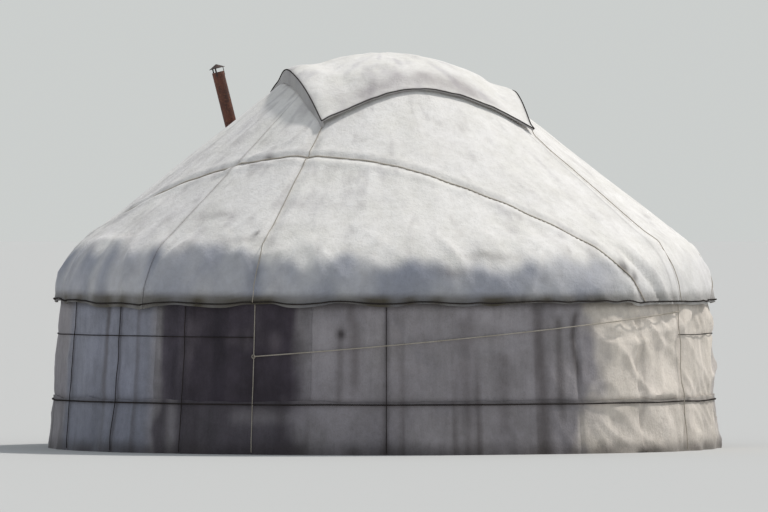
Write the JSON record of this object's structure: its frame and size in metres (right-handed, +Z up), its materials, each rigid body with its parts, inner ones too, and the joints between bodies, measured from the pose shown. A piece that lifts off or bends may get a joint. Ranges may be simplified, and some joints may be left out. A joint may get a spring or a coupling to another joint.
{
  "type": "yurt",
  "caption": "Round felt-covered yurt with a folding lattice wall, bent roof poles, a socketed crown ring, a square crown felt, girth ropes, a stovepipe and a doorway with a rolled curtain.",
  "frame": {"origin": "on the ground at the yurt's axis", "axes": "+Z up, the doorway towards +Y, the pictured front towards -Y"},
  "size_m": [5.9806, 6.0508, 3.5482],
  "materials": {
    "felt_roof": "matted wool felt, off-white, weathered",
    "felt_crown": "matted wool felt, off-white",
    "felt_wall": "matted wool felt, grey-white, creased",
    "felt_skirt": "matted wool felt, soiled",
    "felt_dark": "matted wool felt, dark brown",
    "rope_dark": "twisted hair rope, dark",
    "rope_pale": "twisted wool rope, pale",
    "wood_lattice": "bare willow, smoked",
    "wood_poles": "worn red-brown stain",
    "wood_door": "worn brown stain",
    "pipe_steel": "rusted sheet steel, matt"
  },
  "bodies": {
    "root": {"lattice_wall_1": "wood_lattice", "lattice_wall_2": "wood_lattice", "lattice_wall_3": "wood_lattice", "lattice_wall_4": "wood_lattice", "lattice_wall_5": "wood_lattice", "lattice_wall_6": "wood_lattice", "roof_poles_1": "wood_poles", "roof_poles_2": "wood_poles", "roof_poles_3": "wood_poles", "roof_poles_4": "wood_poles", "roof_poles_5": "wood_poles", "roof_poles_6": "wood_poles", "roof_poles_door": "wood_poles", "crown_ring": "wood_poles", "crown_spokes": "wood_poles", "door_post_left": "wood_door", "door_post_right": "wood_door", "door_lintel": "wood_door", "door_threshold": "wood_door", "door_curtain": "felt_wall", "curtain_straps": "rope_dark", "wall_felt_back_left": "felt_wall", "wall_felt_front_left": "felt_wall", "wall_felt_front_right": "felt_wall", "wall_felt_back_right": "felt_wall", "skirt_felt_back_left": "felt_skirt", "skirt_felt_front_left": "felt_skirt", "skirt_felt_front_right": "felt_skirt", "skirt_felt_back_right": "felt_skirt", "wall_patch": "felt_dark", "roof_felt_left": "felt_roof", "roof_felt_front": "felt_roof", "roof_felt_right": "felt_roof", "roof_felt_back": "felt_roof", "roof_felt_door": "felt_roof", "crown_felt": "felt_crown", "hem_rope": "rope_dark", "lower_wall_rope": "rope_dark", "upper_wall_ropes": "rope_dark", "upright_ropes": "rope_dark", "corner_ropes_wall": "rope_pale", "corner_ropes_roof": "rope_pale", "roof_ropes": "rope_pale", "pale_rope": "rope_pale", "stovepipe": "pipe_steel", "pipe_cap": "pipe_steel", "pipe_collar": "pipe_steel"}
  },
  "joints": []
}
